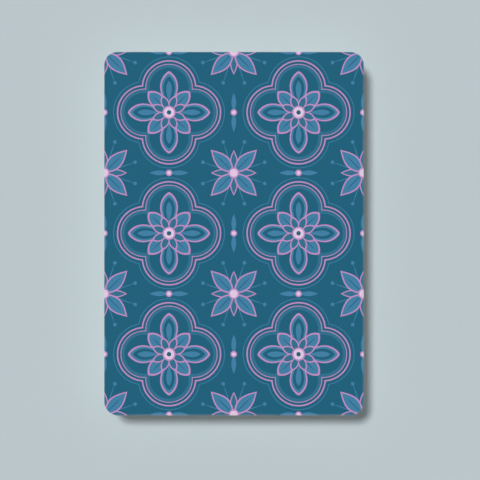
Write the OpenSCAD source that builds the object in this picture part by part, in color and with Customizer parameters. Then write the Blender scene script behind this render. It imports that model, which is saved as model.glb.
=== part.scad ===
// Deck of question cards, squared up by hand and lying flat with its printed backs up.
// Millimetres. The origin is on the table, in the middle of the deck. Cards are long along Y.

/* [Card] */
// Width of a card across its short side
card_w = 63.5; // [40:0.5:100]
// Length of a card along its long side
card_l = 88.9; // [60:0.1:160]
// Thickness of the printed, varnished stock
card_t = 0.3; // [0.2:0.01:0.6]
// Radius of the die-cut corners
corner_r = 3.175; // [1:0.025:10]

/* [Deck] */
// Number of cards
card_count = 54; // [20:1:60]
// Air between one card and the next in a squared deck
card_gap = 0.02; // [0.01:0.01:0.1]
// How far each card lies off the middle of a deck squared by hand
stray = 0.12; // [0:0.01:0.5]
// Turn from one card's stray direction to the next one's, in degrees
stray_turn = 137.5; // [10:0.5:180]

/* [Hidden] */
// Segments of a full circle where the corners are drawn as a mesh
$fn = 96;
// Height of one card and the air above it
card_pitch = card_t + card_gap;
// Cards are numbered from the top, in the order in which they are drawn

// Die-cut outline: two crossed rectangles, with a disc in each corner
module card_outline() {
    square([card_w - 2 * corner_r, card_l], center = true);
    square([card_w, card_l - 2 * corner_r], center = true);
    for (x_side = [-1, 1], y_side = [-1, 1]) {
        translate([x_side * (card_w / 2 - corner_r), y_side * (card_l / 2 - corner_r)])
            circle(r = corner_r);
    }
}

// One loose card at its height in the deck
module question_card(number) {
    stray_angle = number * stray_turn;
    underside_z = (card_count - number) * card_pitch;
    color("#20607b")
        translate([stray * cos(stray_angle), stray * sin(stray_angle), underside_z])
            linear_extrude(height = card_t)
                card_outline();
}

for (number = [1 : card_count]) {
    question_card(number);
}
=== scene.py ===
# A deck of question cards, squared up by hand and lying flat, with the patterned backs up.
import cmath
import math

import bmesh
import bpy
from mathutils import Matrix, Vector
from mathutils.geometry import delaunay_2d_cdt


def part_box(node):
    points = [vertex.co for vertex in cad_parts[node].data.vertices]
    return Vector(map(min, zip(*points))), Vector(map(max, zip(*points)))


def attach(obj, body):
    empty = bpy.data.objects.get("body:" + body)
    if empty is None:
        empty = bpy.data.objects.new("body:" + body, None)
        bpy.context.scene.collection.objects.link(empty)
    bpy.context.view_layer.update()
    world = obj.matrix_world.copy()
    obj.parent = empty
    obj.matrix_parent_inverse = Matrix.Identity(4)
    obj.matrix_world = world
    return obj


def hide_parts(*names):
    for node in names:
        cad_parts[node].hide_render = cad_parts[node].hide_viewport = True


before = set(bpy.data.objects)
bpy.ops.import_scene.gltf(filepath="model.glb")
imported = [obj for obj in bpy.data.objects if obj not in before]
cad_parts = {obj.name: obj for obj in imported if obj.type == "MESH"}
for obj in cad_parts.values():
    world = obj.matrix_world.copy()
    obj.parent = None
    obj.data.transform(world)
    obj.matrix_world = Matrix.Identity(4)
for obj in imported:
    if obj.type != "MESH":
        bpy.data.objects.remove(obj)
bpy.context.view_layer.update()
scene = bpy.context.scene

# Camera
# It hangs straight above the deck with a long lens, the cards' long side up the picture,
# so little but the top card shows.
PICTURE_PX = 480
PHOTO_CARD_WIDTH_PX = 259.1
PHOTO_CARD_MIDDLE_PX = (233.8, 233.3)
LENS_MM = 200
SENSOR_MM = 36

# The cards are numbered from the top
deck = sorted(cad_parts)
top_low, top_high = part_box(deck[0])
card_size = top_high - top_low
pixel_size = card_size.x / PHOTO_CARD_WIDTH_PX
camera = bpy.data.objects.new("camera", bpy.data.cameras.new("camera"))
camera.data.lens = LENS_MM
camera.data.sensor_width = SENSOR_MM
camera.location = (
    (top_low.x + top_high.x) / 2 + (PICTURE_PX / 2 - PHOTO_CARD_MIDDLE_PX[0]) * pixel_size,
    (top_low.y + top_high.y) / 2 - (PICTURE_PX / 2 - PHOTO_CARD_MIDDLE_PX[1]) * pixel_size,
    top_high.z + PICTURE_PX * pixel_size * LENS_MM / SENSOR_MM,
)
scene.collection.objects.link(camera)
scene.camera = camera

# Card board
# Each card is die-cut from coated paper board. The die presses the rim a little round,
# so the back's ink runs just over it, and below that the bare core of the board shows.
QUARTER_TURN = math.tau / 4
# Sizes from here on are in millimetres, and MM turns them into Blender's metres
MM = 0.001
CORNER_RADIUS = 3.175
CORNER_STEPS = 10
RIM_ROUND = 0.03
# A paper fibre is about 0.03 mm wide, too fine to show, so fibres are drawn in clumps of this size
FIBRE_CLUMP = 0.35
FUZZ_HEIGHT = 0.01
DARK_FIBRE = "#efe9dc"
PALE_FIBRE = "#fdfaf4"
SOILED_BOARD = "#c9c1b4"
MOST_SOILING = 0.25

card_width, card_length, card_thickness = (side / MM for side in card_size)


def rounded_outline(inset, radius):
    """A rectangle inside the card's rim, with round corners. Points are x + yj, in mm from the middle."""
    across = card_width / 2 - inset - radius
    along = card_length / 2 - inset - radius
    return [
        complex(x_side * across, y_side * along)
        + cmath.rect(radius, QUARTER_TURN * (quarter + step / CORNER_STEPS))
        for quarter, (x_side, y_side) in enumerate([(1, 1), (-1, 1), (-1, -1), (1, -1)])
        for step in range(CORNER_STEPS + 1)
    ]


def outward(point):
    """The direction straight out of the card's rim, at a point near it."""
    across = card_width / 2 - CORNER_RADIUS
    along = card_length / 2 - CORNER_RADIUS
    inner = complex(max(-across, min(across, point.real)), max(-along, min(along, point.imag)))
    return (point - inner) / abs(point - inner)


def linear(hex_colour):
    """An sRGB hex colour as linear red, green and blue, with alpha."""
    parts = [int(hex_colour[start:start + 2], 16) / 255 for start in (1, 3, 5)]
    return (*(c / 12.92 if c <= 0.04045 else ((c + 0.055) / 1.055) ** 2.4 for c in parts), 1)


def add_node(tree, kind, inputs, **settings):
    """Adds a node with its settings, and sets or links its inputs."""
    node = tree.nodes.new(kind)
    for name, value in settings.items():
        setattr(node, name, value)
    for socket, value in inputs.items():
        if isinstance(value, bpy.types.NodeSocket):
            tree.links.new(value, node.inputs[socket])
        else:
            node.inputs[socket].default_value = value
    return node


def bare_material(name):
    """A new material and its empty node tree."""
    material = bpy.data.materials.new(name)
    material.use_nodes = True
    material.node_tree.nodes.clear()
    return material, material.node_tree


# Cut paper board: off-white, matt and fibrous, and no two cards are quite the same shade.
# Each card has a number of its own from 0 to 1. A Mix node takes its colours at 6 and 7 and gives one at 2.
cut_board, tree = bare_material("cut_paper_board")
place = add_node(tree, "ShaderNodeTexCoord", {}).outputs["Object"]
card_number = add_node(tree, "ShaderNodeObjectInfo", {}).outputs["Random"]
fibres = add_node(
    tree, "ShaderNodeTexNoise",
    {"Vector": place, "W": card_number, "Scale": 1 / (FIBRE_CLUMP * MM), "Detail": 3.0},
    noise_dimensions="4D",
)
fibre_shade = add_node(
    tree, "ShaderNodeMix",
    {0: fibres.outputs[0], 6: linear(DARK_FIBRE), 7: linear(PALE_FIBRE)},
    data_type="RGBA",
)
soiling = add_node(tree, "ShaderNodeMapRange", {"Value": card_number, "To Max": MOST_SOILING})
board_shade = add_node(
    tree, "ShaderNodeMix",
    {0: soiling.outputs[0], 6: fibre_shade.outputs[2], 7: linear(SOILED_BOARD)},
    data_type="RGBA",
)
fuzz = add_node(
    tree, "ShaderNodeBump",
    {"Height": fibres.outputs[0], "Distance": FUZZ_HEIGHT * MM, "Strength": 0.6},
)
board_surface = add_node(
    tree, "ShaderNodeBsdfPrincipled",
    {
        "Base Color": board_shade.outputs[2],
        "Roughness": 0.9,
        "Specular IOR Level": 0.2,
        "Normal": fuzz.outputs[0],
    },
)
add_node(tree, "ShaderNodeOutputMaterial", {"Surface": board_surface.outputs[0]})

# Printed back
# The backs are offset-printed to the edge in five inks and varnished: two columns of three quatrefoils,
# each with a rosette in it, a bud in the gap between two of them and a floret in the space between four.
TILE_COLUMNS, TILE_ROWS = 2, 3
TILE_WIDTH = card_width / TILE_COLUMNS
TILE_LENGTH = card_length / TILE_ROWS
LINE = 0.34
THIN_LINE = 0.28
FINE_LINE = 0.18
# Quatrefoil, with a fine echo line outside its edge, and a second line and a band inside it
LOBE_RADIUS = 6.7
LOBE_OFFSET = 6.1
ECHO_GAP = 0.9
INNER_FRAME_INSET = 0.9
BAND_INSET = 1.9
# Rosette
LONG_PETAL = {"length": 10.1, "half_width": 2.2, "fullness": 0.7, "belly": 1.5}
HOLLOW_INSET = 0.8
HEART_INSET = 1.5
SHORT_PETAL = {"length": 7.2, "half_width": 1.8, "fullness": 0.7, "belly": 1.4}
INNER_PETAL = {"length": 4.4, "half_width": 1.0, "fullness": 0.7, "belly": 1.3, "steps": 10}
VEIN = {"length": 6.0, "half_width": 0.14, "steps": 3}
ROSETTE_EYE = {"radius": 1.6}
ROSETTE_PUPIL = {"radius": 0.55}
# Floret
BROAD_LEAF = {"length": 8.0, "half_width": 1.75, "belly": 0.9}
SLIM_LEAF = {"length": 5.6, "half_width": 0.95, "steps": 9}
STAMEN = {"length": 8.2, "half_width": 0.15, "steps": 3}
STAMEN_TIP = {"radius": 0.45}
STAMEN_TIP_REACH = 8.0
STAMEN_SWING = math.radians(19)
FLORET_EYE = {"radius": 1.3}
# Bud
BUD_LEAF = {"length": 4.8, "half_width": 0.6, "steps": 9}
BEAD = {"radius": 0.8}
# Curves. A line round a petal is wider at its two points than along its sides.
POINT_WIDENING = 1.6
DISC_LEAST_STEPS = 12
DISC_STEPS_PER_MM = 8
# Ink and varnish
MOTTLE_SIZE = 3.0
# The paper's tooth is finer than this, and is drawn as coarse as it needs to show
TOOTH_SIZE = 0.2
TOOTH_HEIGHT = 0.003
SMOOTHEST, ROUGHEST = 0.62, 0.74
WORN_RIM = 0.2
MOST_RUBBING = 0.3
RUBBED_INK = "#e3dfd6"


def varnished(name, full_colour, thin_colour):
    """Ink or board under a satin varnish: one colour, faintly mottled, and rubbed pale along the rim."""
    material, tree = bare_material(name)
    place = add_node(tree, "ShaderNodeTexCoord", {}).outputs["Object"]
    card_number = add_node(tree, "ShaderNodeObjectInfo", {}).outputs["Random"]
    mottle = add_node(
        tree, "ShaderNodeTexNoise",
        {"Vector": place, "W": card_number, "Scale": 1 / (MOTTLE_SIZE * MM), "Detail": 4.0},
        noise_dimensions="4D",
    )
    colour = add_node(
        tree, "ShaderNodeMix",
        {0: mottle.outputs[0], 6: linear(full_colour), 7: linear(thin_colour)},
        data_type="RGBA",
    )
    # How far a place lies outside the rectangle between the corners' middles: at the rim, the corner radius.
    # A whole card's length is taken off its height, which then never counts.
    from_middle = add_node(tree, "ShaderNodeVectorMath", {0: place}, operation="ABSOLUTE")
    inner_corner = (card_width / 2 - CORNER_RADIUS, card_length / 2 - CORNER_RADIUS, card_length)
    past_corner = add_node(
        tree, "ShaderNodeVectorMath",
        {0: from_middle.outputs[0], 1: [side * MM for side in inner_corner]},
        operation="SUBTRACT",
    )
    out_of_middle = add_node(
        tree, "ShaderNodeVectorMath", {0: past_corner.outputs[0], 1: (0, 0, 0)}, operation="MAXIMUM",
    )
    reach = add_node(tree, "ShaderNodeVectorMath", {0: out_of_middle.outputs[0]}, operation="LENGTH")
    rubbing = add_node(
        tree, "ShaderNodeMapRange",
        {
            "Value": reach.outputs["Value"],
            "From Min": (CORNER_RADIUS - WORN_RIM) * MM,
            "From Max": CORNER_RADIUS * MM,
            "To Max": MOST_RUBBING,
        },
    )
    rub_marks = add_node(
        tree, "ShaderNodeMath", {0: rubbing.outputs[0], 1: mottle.outputs[0]}, operation="MULTIPLY",
    )
    worn_colour = add_node(
        tree, "ShaderNodeMix",
        {0: rub_marks.outputs[0], 6: colour.outputs[2], 7: linear(RUBBED_INK)},
        data_type="RGBA",
    )
    sheen = add_node(
        tree, "ShaderNodeMapRange", {"Value": mottle.outputs[0], "To Min": SMOOTHEST, "To Max": ROUGHEST},
    )
    tooth = add_node(
        tree, "ShaderNodeTexNoise", {"Vector": place, "Scale": 1 / (TOOTH_SIZE * MM), "Detail": 1.0},
    )
    paper_grain = add_node(
        tree, "ShaderNodeBump",
        {"Height": tooth.outputs[0], "Distance": TOOTH_HEIGHT * MM, "Strength": 0.5},
    )
    surface = add_node(
        tree, "ShaderNodeBsdfPrincipled",
        {
            "Base Color": worn_colour.outputs[2],
            "Roughness": sheen.outputs[0],
            "Specular IOR Level": 0.12,
            "Normal": paper_grain.outputs[0],
        },
    )
    add_node(tree, "ShaderNodeOutputMaterial", {"Surface": surface.outputs[0]})
    return material


# Offset ink under a satin varnish: flat, even colours with a broad dull sheen and no mirror image
card_materials = [
    cut_board,
    varnished("varnished_teal_ink", "#145b76", "#185f7a"),
    varnished("varnished_orchid_ink", "#ba89be", "#c090c3"),
    varnished("varnished_blue_ink", "#3a7a9f", "#4180a4"),
    varnished("varnished_slate_blue_ink", "#2b6a88", "#306f8d"),
    varnished("varnished_blush_ink", "#dcc2de", "#e2cbe4"),
]
CUT_BOARD, TEAL, ORCHID, BLUE, SLATE_BLUE, BLUSH = range(len(card_materials))


def disc(radius, inset=0.0):
    """A round dot."""
    count = round(DISC_LEAST_STEPS + DISC_STEPS_PER_MM * radius)
    return [cmath.rect(radius - inset, math.tau * step / count) for step in range(count)]


def petal(length, half_width, fullness=1.0, belly=1.0, inset=0.0, steps=15):
    """A petal along x from its root. Less fullness rounds its ends, more belly moves its width outwards."""
    end_inset = POINT_WIDENING * inset
    lower_side = []
    for step in range(steps + 1):
        part = (1 - math.cos(math.pi * step / steps)) / 2
        x = end_inset + (length - 2 * end_inset) * part
        y = (half_width - inset) * max(math.sin(math.pi * part ** belly), 0) ** fullness
        lower_side.append(complex(x, -y))
    return lower_side + [point.conjugate() for point in lower_side[-2:0:-1]]


def quatrefoil(inset=0.0, steps=24):
    """Four round lobes that meet in cusps on the diagonals. A negative inset draws it larger."""
    lobe_radius = LOBE_RADIUS - inset
    outline = []
    for step in range(4 * steps):
        swing = QUARTER_TURN * (step % steps / steps - 0.5)
        reach = LOBE_OFFSET * math.cos(swing)
        reach += math.sqrt(lobe_radius ** 2 - (LOBE_OFFSET * math.sin(swing)) ** 2)
        outline.append(cmath.rect(reach, QUARTER_TURN * (step / steps - 0.5)))
    return outline


def placed(outline, middle, turn):
    """A shape turned and moved to its place."""
    return [middle + point * cmath.rect(1, turn) for point in outline]


back_print = []


def print_back(ink, outline, middle, turn=0.0):
    """Prints a shape on the back, over what is there already, unless it lies off the card."""
    shape = placed(outline, middle, turn)
    if any(abs(point.real) < card_width / 2 and abs(point.imag) < card_length / 2 for point in shape):
        back_print.append((ink, shape))


def print_outlined(ink, draw, sizes, middle, turn=0.0, line=LINE):
    """Prints a shape with an orchid line round it."""
    print_back(ORCHID, draw(**sizes), middle, turn)
    print_back(ink, draw(**sizes, inset=line), middle, turn)


def print_rosette(middle):
    """A frame of two lines and a band, and a flower of three rounds of petals in it."""
    print_outlined(TEAL, quatrefoil, {}, middle)
    print_back(ORCHID, quatrefoil(INNER_FRAME_INSET), middle)
    print_back(SLATE_BLUE, quatrefoil(INNER_FRAME_INSET + FINE_LINE), middle)
    print_back(TEAL, quatrefoil(BAND_INSET), middle)
    for quarter in range(4):
        turn = QUARTER_TURN * (quarter + 0.5)
        print_outlined(BLUE, petal, SHORT_PETAL, middle, turn)
        print_back(TEAL, petal(**VEIN), middle, turn)
    for quarter in range(4):
        turn = QUARTER_TURN * quarter
        print_outlined(BLUE, petal, LONG_PETAL, middle, turn)
        print_back(TEAL, petal(**LONG_PETAL, inset=HOLLOW_INSET), middle, turn)
        print_back(BLUE, petal(**LONG_PETAL, inset=HEART_INSET), middle, turn)
    for eighth in range(8):
        turn = QUARTER_TURN / 2 * (eighth + 0.5)
        print_outlined(SLATE_BLUE, petal, INNER_PETAL, middle, turn, THIN_LINE)
    print_outlined(BLUSH, disc, ROSETTE_EYE, middle)
    print_back(TEAL, disc(**ROSETTE_PUPIL), middle)


def print_floret(middle):
    """Four broad leaves towards the cusps, and between them four slim ones, each with two stamens."""
    for quarter in range(4):
        for swing in (-STAMEN_SWING, STAMEN_SWING):
            turn = QUARTER_TURN * quarter + swing
            print_back(BLUE, petal(**STAMEN), middle, turn)
            print_back(BLUE, disc(**STAMEN_TIP), middle + cmath.rect(STAMEN_TIP_REACH, turn))
    for quarter in range(4):
        turn = QUARTER_TURN * quarter
        print_outlined(SLATE_BLUE, petal, SLIM_LEAF, middle, turn, THIN_LINE)
    for quarter in range(4):
        turn = QUARTER_TURN * (quarter + 0.5)
        print_outlined(BLUE, petal, BROAD_LEAF, middle, turn)
        print_back(TEAL, petal(**VEIN), middle, turn)
    print_outlined(BLUSH, disc, FLORET_EYE, middle)


def print_bud(middle, turn):
    """A bead with a leaf at each side of it."""
    for leaf_turn in (turn, turn + math.pi):
        print_back(BLUE, petal(**BUD_LEAF), middle, leaf_turn)
    print_outlined(BLUSH, disc, BEAD, middle)


# The first row and column lie off the card, but their buds and florets are on its edges
tile_middles = [
    complex(
        (column - 0.5 - TILE_COLUMNS / 2) * TILE_WIDTH,
        (row - 0.5 - TILE_ROWS / 2) * TILE_LENGTH,
    )
    for row in range(TILE_ROWS + 1)
    for column in range(TILE_COLUMNS + 1)
]
for middle in tile_middles:
    print_back(BLUE, quatrefoil(-ECHO_GAP), middle)
for middle in tile_middles:
    print_back(TEAL, quatrefoil(FINE_LINE - ECHO_GAP), middle)
for middle in tile_middles:
    print_rosette(middle)
    print_floret(middle + complex(TILE_WIDTH, TILE_LENGTH) / 2)
for middle in tile_middles:
    print_bud(middle + TILE_WIDTH / 2, QUARTER_TURN)
    print_bud(middle + 1j * TILE_LENGTH / 2, 0)

# Question face
# The other side is left white round a framed panel for the question, which is bare here.
# It is printed in two of the back's inks and varnished with it, and lies face down in the deck.
FACE_FRAME_INSET = 4.5
FACE_FRAME_RADIUS = 2.5
FACE_FRAME_GAP = 1.2
HOOK_MIDDLE = 25.5j
HOOK_RADIUS = 4.6
HOOK_START_DEGREES, HOOK_END_DEGREES = 165, -60
HOOK_STEPS = 24
NECK_STEPS = 6
STROKE_WIDTH = 1.6
STEM_END = 15.6j
SIGN_DOT = {"radius": 1.15}
SIGN_DOT_MIDDLE = 12.6j
ORNAMENT_MIDDLE = -30j
ORNAMENT_LEAF = {"length": 3.6, "half_width": 0.8, "steps": 6}
ORNAMENT_SLIM_LEAF = {"length": 3.0, "half_width": 0.5, "steps": 6}
ORNAMENT_EYE = {"radius": 0.5}

FACE_BOARD = len(card_materials)
card_materials.append(varnished("varnished_white_board", "#f1ede4", "#f9f6f0"))

face_print = []


def print_face(ink, outline, middle=0j, turn=0.0):
    """Prints a shape on the face, which is seen from below and so is drawn the other way round."""
    shape = placed(outline, middle, turn)
    face_print.append((ink, [complex(-point.real, point.imag) for point in reversed(shape)]))


for ink, inset in (
    (TEAL, 0),
    (FACE_BOARD, LINE),
    (ORCHID, FACE_FRAME_GAP),
    (FACE_BOARD, FACE_FRAME_GAP + FINE_LINE),
):
    print_face(ink, rounded_outline(FACE_FRAME_INSET + inset, FACE_FRAME_RADIUS - inset))

# The sign's hook runs on into a neck of the same radius that bends the other way, a stem and a dot
stroke = []
for step in range(HOOK_STEPS + 1):
    degrees = HOOK_START_DEGREES + (HOOK_END_DEGREES - HOOK_START_DEGREES) * step / HOOK_STEPS
    stroke.append(HOOK_MIDDLE + cmath.rect(HOOK_RADIUS, math.radians(degrees)))
neck_middle = HOOK_MIDDLE + cmath.rect(2 * HOOK_RADIUS, math.radians(HOOK_END_DEGREES))
for step in range(1, NECK_STEPS + 1):
    degrees = HOOK_END_DEGREES * (1 - step / NECK_STEPS)
    stroke.append(neck_middle - cmath.rect(HOOK_RADIUS, math.radians(degrees)))
stroke.append(STEM_END)
left_side, right_side = [], []
for number, point in enumerate(stroke):
    along = stroke[min(number + 1, len(stroke) - 1)] - stroke[max(number - 1, 0)]
    across = along / abs(along) * STROKE_WIDTH / 2 * 1j
    left_side.append(point + across)
    right_side.append(point - across)
print_face(TEAL, right_side + left_side[::-1])
print_face(TEAL, disc(**SIGN_DOT), SIGN_DOT_MIDDLE)

for quarter in range(4):
    print_face(TEAL, petal(**ORNAMENT_LEAF), ORNAMENT_MIDDLE, QUARTER_TURN * (quarter + 0.5))
for quarter in range(4):
    print_face(ORCHID, petal(**ORNAMENT_SLIM_LEAF), ORNAMENT_MIDDLE, QUARTER_TURN * quarter)
print_face(TEAL, disc(**ORNAMENT_EYE), ORNAMENT_MIDDLE)

# Card
# Ink, rim and face are one closed sheet of board. Each patch of ink is a patch of the mesh,
# so every edge of the print stays sharp, and one mesh serves all the cards.
MERGE_DISTANCE = 0.001
SEAM_DISTANCE = 0.0001
ALL_TRIANGLES = 0
STRAIGHT = math.radians(0.5)
CREASE = math.radians(30)
MAP_COLUMNS, MAP_ROWS = 4, 2
FACE_INK_MAP_TILE = FACE_BOARD + 1
MAP_TILE_FILL = 0.92
RIM_ON_MAP = 3.0

card_shape = bmesh.new()


def lay_side(ground, prints, outline, height, facing_up):
    """Cuts one side of the card into patches of ink. Where shapes overlap, the one printed last shows."""
    shapes = [(ground, outline)] + prints
    points, rings = [], []
    for _, shape in shapes:
        rings.append(list(range(len(points), len(points) + len(shape))))
        points.extend(Vector((point.real, point.imag)) for point in shape)
    spots, _, triangles, _, _, covering = delaunay_2d_cdt(points, [], rings, ALL_TRIANGLES, MERGE_DISTANCE)
    corners = [card_shape.verts.new((spot.x * MM, spot.y * MM, height * MM)) for spot in spots]
    patches = []
    for triangle, layers in zip(triangles, covering):
        if 0 in layers:
            turned = triangle if facing_up else triangle[::-1]
            patch = card_shape.faces.new([corners[number] for number in turned])
            patch.material_index = shapes[max(layers)][0]
            patches.append(patch)
    bmesh.ops.delete(card_shape, geom=[c for c in corners if not c.link_faces], context="VERTS")
    # Inside an ink, edges and straight-on points are left over from the shapes under it.
    # The face keeps such points, because those on its outline have to meet the rim's.
    # A dict keeps its order, so every run gives the same mesh.
    edges = dict.fromkeys(edge for patch in patches for edge in patch.edges if not edge.is_boundary)
    leftover = dict.fromkeys(corner for edge in edges for corner in edge.verts) if facing_up else {}
    bmesh.ops.dissolve_limit(
        card_shape, angle_limit=STRAIGHT, verts=list(leftover), edges=list(edges), delimit={"MATERIAL"},
    )


lay_side(TEAL, back_print, rounded_outline(RIM_ROUND, CORNER_RADIUS - RIM_ROUND), card_thickness / 2, True)

# Three bands go round the card: the back's rounded rim in its inks, the cut side and the face's rounded rim
rim = [corner for corner in card_shape.verts if corner.is_boundary]
rim.sort(key=lambda corner: math.atan2(corner.co.y, corner.co.x))
rows = [rim]
for swell, height in (
    (RIM_ROUND, card_thickness / 2 - RIM_ROUND),
    (RIM_ROUND, RIM_ROUND - card_thickness / 2),
    (0, -card_thickness / 2),
):
    row = []
    for corner in rim:
        point = complex(corner.co.x, corner.co.y) / MM
        point += outward(point) * swell
        row.append(card_shape.verts.new((point.real * MM, point.imag * MM, height * MM)))
    rows.append(row)
for start in range(len(rim)):
    end = (start + 1) % len(rim)
    ink = card_shape.edges.get((rim[start], rim[end])).link_faces[0].material_index
    for upper, lower, material in zip(rows, rows[1:], (ink, CUT_BOARD, FACE_BOARD)):
        band = card_shape.faces.new((lower[start], lower[end], upper[end], upper[start]))
        band.material_index = material

face_outline = [complex(corner.co.x, corner.co.y) / MM for corner in rows[-1]]
lay_side(FACE_BOARD, face_print, face_outline, -card_thickness / 2, False)
seam = [corner for corner in card_shape.verts if corner.is_boundary]
bmesh.ops.remove_doubles(card_shape, verts=seam, dist=SEAM_DISTANCE * MM)
bmesh.ops.triangulate(card_shape, faces=card_shape.faces[:], ngon_method="BEAUTY")
for patch in card_shape.faces:
    patch.smooth = True
for edge in card_shape.edges:
    edge.smooth = edge.calc_face_angle() < CREASE

# Each material has a tile of the map to itself, with one more for the inks on the face, and the cut side
# lies in its tile as a ring. In a bake an ink's colour runs on into the gaps of its tile, so that
# thin lines stay clean.
scene.render.bake.margin_type = "EXTEND"
bake_map = card_shape.loops.layers.uv.new("OFBake")
for patch in card_shape.faces:
    map_tile = patch.material_index
    on_face = patch.calc_center_median().z < -card_thickness / 4 * MM
    if on_face and map_tile != FACE_BOARD:
        map_tile = FACE_INK_MAP_TILE
    for loop in patch.loops:
        spot = loop.vert.co / MM
        point = complex(spot.x, spot.y)
        if map_tile == CUT_BOARD:
            point -= outward(point) * RIM_ON_MAP * (0.5 - spot.z / card_thickness)
        loop[bake_map].uv = (
            (map_tile % MAP_COLUMNS + 0.5 + MAP_TILE_FILL * point.real / card_width) / MAP_COLUMNS,
            (map_tile // MAP_COLUMNS + 0.5 + MAP_TILE_FILL * point.imag / card_length) / MAP_ROWS,
        )

card_mesh = bpy.data.meshes.new("printed_card")
card_shape.to_mesh(card_mesh)
card_shape.free()
for material in card_materials:
    card_mesh.materials.append(material)

# Deck
# The cards lie loose on each other, squared up by hand, so none is quite in line with the next.
# Nothing holds them but their weight.
for node in deck:
    low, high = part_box(node)
    card = bpy.data.objects.new(node.replace("question", "printed"), card_mesh)
    card.location = (low + high) / 2
    scene.collection.objects.link(card)
    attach(card, node)
    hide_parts(node)

# Floor and light
# A plain pale floor under a soft lamp high on the upper left, in a room that is brightest low down,
# so that the deck's sides are lit as well as its top. Far off it fades into a backdrop of its own colour.
FLOOR_HALF_SIDE = 4500
FADE_START = 500
FLOOR_COLOUR = "#bcc8cd"
LAMP_WAY = Vector((0.15, -0.178, -1))
LAMP_STRENGTH = 2.35
LAMP_SPREAD = math.radians(8.5)
ROOM_GLOW = 1.26
GLOW_FALLOFF = 2.0

floor_reach = FLOOR_HALF_SIDE * MM

# Matt floor paint: one even pale colour with no sheen, which lets the shadow show and takes no reflection
floor_paint, tree = bare_material("matt_floor_paint")
floor_surface = add_node(
    tree, "ShaderNodeBsdfPrincipled",
    {"Base Color": linear(FLOOR_COLOUR), "Roughness": 1.0, "Specular IOR Level": 0.0},
)
place = add_node(tree, "ShaderNodeTexCoord", {}).outputs["Object"]
far_off = add_node(tree, "ShaderNodeVectorMath", {0: place}, operation="LENGTH").outputs["Value"]
fade = add_node(
    tree, "ShaderNodeMapRange",
    {"Value": far_off, "From Min": FADE_START * MM, "From Max": floor_reach},
)
open_air = add_node(tree, "ShaderNodeBsdfTransparent", {})
faded_floor = add_node(
    tree, "ShaderNodeMixShader",
    {0: fade.outputs[0], 1: floor_surface.outputs[0], 2: open_air.outputs[0]},
)
add_node(tree, "ShaderNodeOutputMaterial", {"Surface": faded_floor.outputs[0]})

floor_mesh = bpy.data.meshes.new("floor")
floor_sides = [(-1, -1), (1, -1), (1, 1), (-1, 1)]
floor_corners = [(x_side * floor_reach, y_side * floor_reach, 0) for x_side, y_side in floor_sides]
floor_mesh.from_pydata(floor_corners, [], [(0, 1, 2, 3)])
floor_mesh.materials.append(floor_paint)
floor = bpy.data.objects.new("floor", floor_mesh)
scene.collection.objects.link(floor)

lamp = bpy.data.objects.new("lamp", bpy.data.lights.new("lamp", "SUN"))
lamp.data.energy = LAMP_STRENGTH
lamp.data.angle = LAMP_SPREAD
lamp.rotation_euler = LAMP_WAY.to_track_quat("-Z", "Y").to_euler()
scene.collection.objects.link(lamp)

studio = bpy.data.worlds.new("studio")
studio.use_nodes = True
tree = studio.node_tree
tree.nodes.clear()
direction = add_node(tree, "ShaderNodeTexCoord", {}).outputs["Generated"]
height_up = add_node(tree, "ShaderNodeSeparateXYZ", {0: direction}).outputs["Z"]
falling = add_node(tree, "ShaderNodeMapRange", {"Value": height_up, "To Min": ROOM_GLOW, "To Max": 0.0})
glow = add_node(tree, "ShaderNodeMath", {0: falling.outputs[0], 1: GLOW_FALLOFF}, operation="POWER")
room = add_node(tree, "ShaderNodeBackground", {"Color": (1, 1, 1, 1), "Strength": glow.outputs[0]})
backdrop = add_node(tree, "ShaderNodeBackground", {"Color": linear(FLOOR_COLOUR), "Strength": 1.0})
# The camera sees the backdrop, and so would gloss and glass. All other rays meet the room.
ray = add_node(tree, "ShaderNodeLightPath", {}).outputs
gloss_or_glass = add_node(
    tree, "ShaderNodeMath", {0: ray["Is Glossy Ray"], 1: ray["Is Transmission Ray"]}, operation="MAXIMUM",
)
sees_backdrop = add_node(
    tree, "ShaderNodeMath", {0: ray["Is Camera Ray"], 1: gloss_or_glass.outputs[0]}, operation="MAXIMUM",
)
around = add_node(
    tree, "ShaderNodeMixShader", {0: sees_backdrop.outputs[0], 1: room.outputs[0], 2: backdrop.outputs[0]},
)
add_node(tree, "ShaderNodeOutputWorld", {"Surface": around.outputs[0]})
scene.world = studio
scene.view_settings.view_transform = "Standard"
